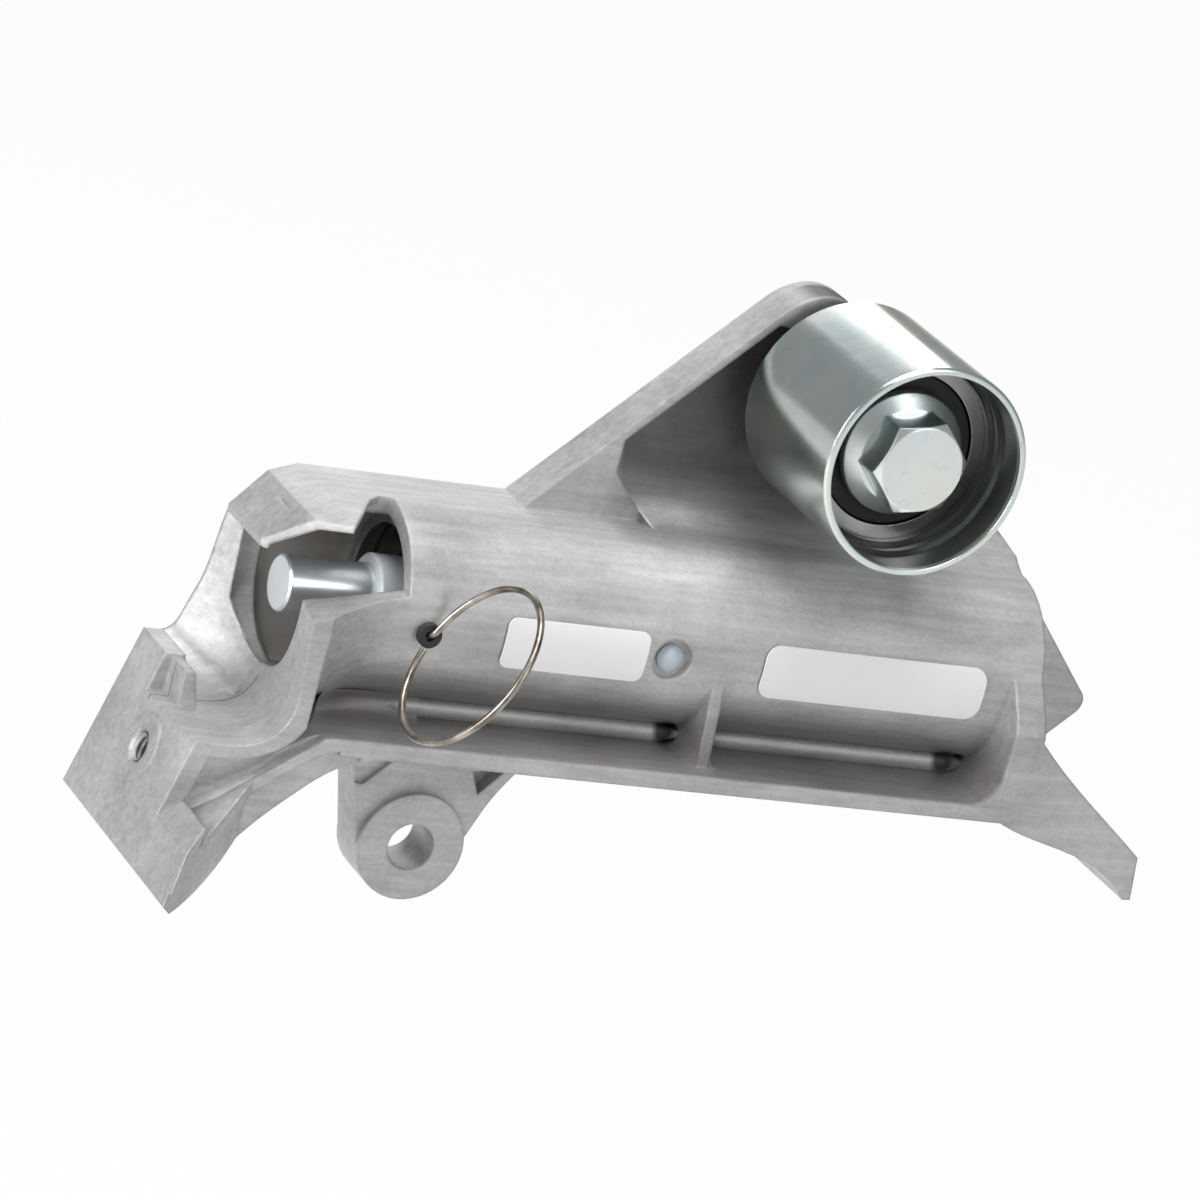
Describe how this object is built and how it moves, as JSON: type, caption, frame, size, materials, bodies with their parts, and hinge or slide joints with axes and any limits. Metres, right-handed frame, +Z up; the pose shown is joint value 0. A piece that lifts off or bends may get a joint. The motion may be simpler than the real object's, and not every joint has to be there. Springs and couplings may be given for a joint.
{
  "type": "timing belt tensioner",
  "caption": "Hydraulic timing belt tensioner in a cast aluminium housing, with a sprung plunger, locking ring pin and bolted guide roller.",
  "frame": {"origin": "centre of the lower mounting hole on the face that seats on the engine", "axes": "+X along the hydraulic cylinder from its plunger end to its closed end, +Y towards the engine block, +Z up towards the guide roller"},
  "size_m": [0.1873, 0.0853, 0.1191],
  "materials": {
    "cast_aluminium": "fine sand-cast grain",
    "ground_steel": "ground and polished",
    "guide_alloy": "turned",
    "dark_steel": "oiled",
    "spring_steel": "drawn wire",
    "pin_wire": "drawn wire, slightly brown",
    "zinc_roller": "zinc-plated with a faint yellow and green tint",
    "zinc_bolt": "zinc-plated with a pale green tint",
    "bearing_steel": "ground",
    "black_rubber": "matt",
    "cage_plastic": "moulded",
    "plug_plastic": "pale blue-grey",
    "label_white": "smooth film"
  },
  "bodies": {
    "housing": {"housing": "cast_aluminium", "rod_guide": "guide_alloy", "rod_seal": "black_rubber", "retaining_ring": "spring_steel", "cylinder_sleeve": "dark_steel", "main_spring": "spring_steel", "valve_body": "dark_steel", "valve_ball": "ground_steel", "valve_cage": "dark_steel", "valve_spring": "spring_steel", "filling_plug": "plug_plastic", "pin_grommet": "black_rubber", "bearing_inner_ring": "bearing_steel", "roller_spacer": "bearing_steel", "roller_bolt": "zinc_bolt", "small_label": "label_white", "blank_label": "label_white"},
    "plunger": {"plunger_rod": "ground_steel", "piston": "ground_steel"},
    "pin": {"ring_pin": "pin_wire"},
    "roller": {"roller_shell": "zinc_roller", "bearing_outer_ring": "bearing_steel", "bearing_front_seal": "black_rubber", "bearing_rear_seal": "black_rubber"},
    "cage": {"bearing_cage": "cage_plastic", "bearing_balls": "bearing_steel"}
  },
  "joints": [
    {"name": "pin_pull", "type": "slide", "parent": "housing", "child": "pin", "axis": [0, -1, 0], "range_m": [0, 0.03]},
    {"name": "plunger_slide", "type": "slide", "parent": "housing", "child": "plunger", "axis": [-1, 0, 0], "range_m": [0, 0.012], "deforming": ["main_spring"]},
    {"name": "roller_spin", "type": "hinge", "parent": "housing", "child": "roller", "pos_m": [0.0544, -0.0285, 0.0908], "axis": [0, 1, 0], "continuous": true},
    {"name": "cage_spin", "type": "hinge", "parent": "housing", "child": "cage", "pos_m": [0.0544, -0.0285, 0.0908], "axis": [0, 1, 0], "continuous": true}
  ],
  "couplings": [
    {"joint": "plunger_slide", "follows": "pin_pull", "ratio": 0.4},
    {"joint": "cage_spin", "follows": "roller_spin", "ratio": 0.637}
  ]
}
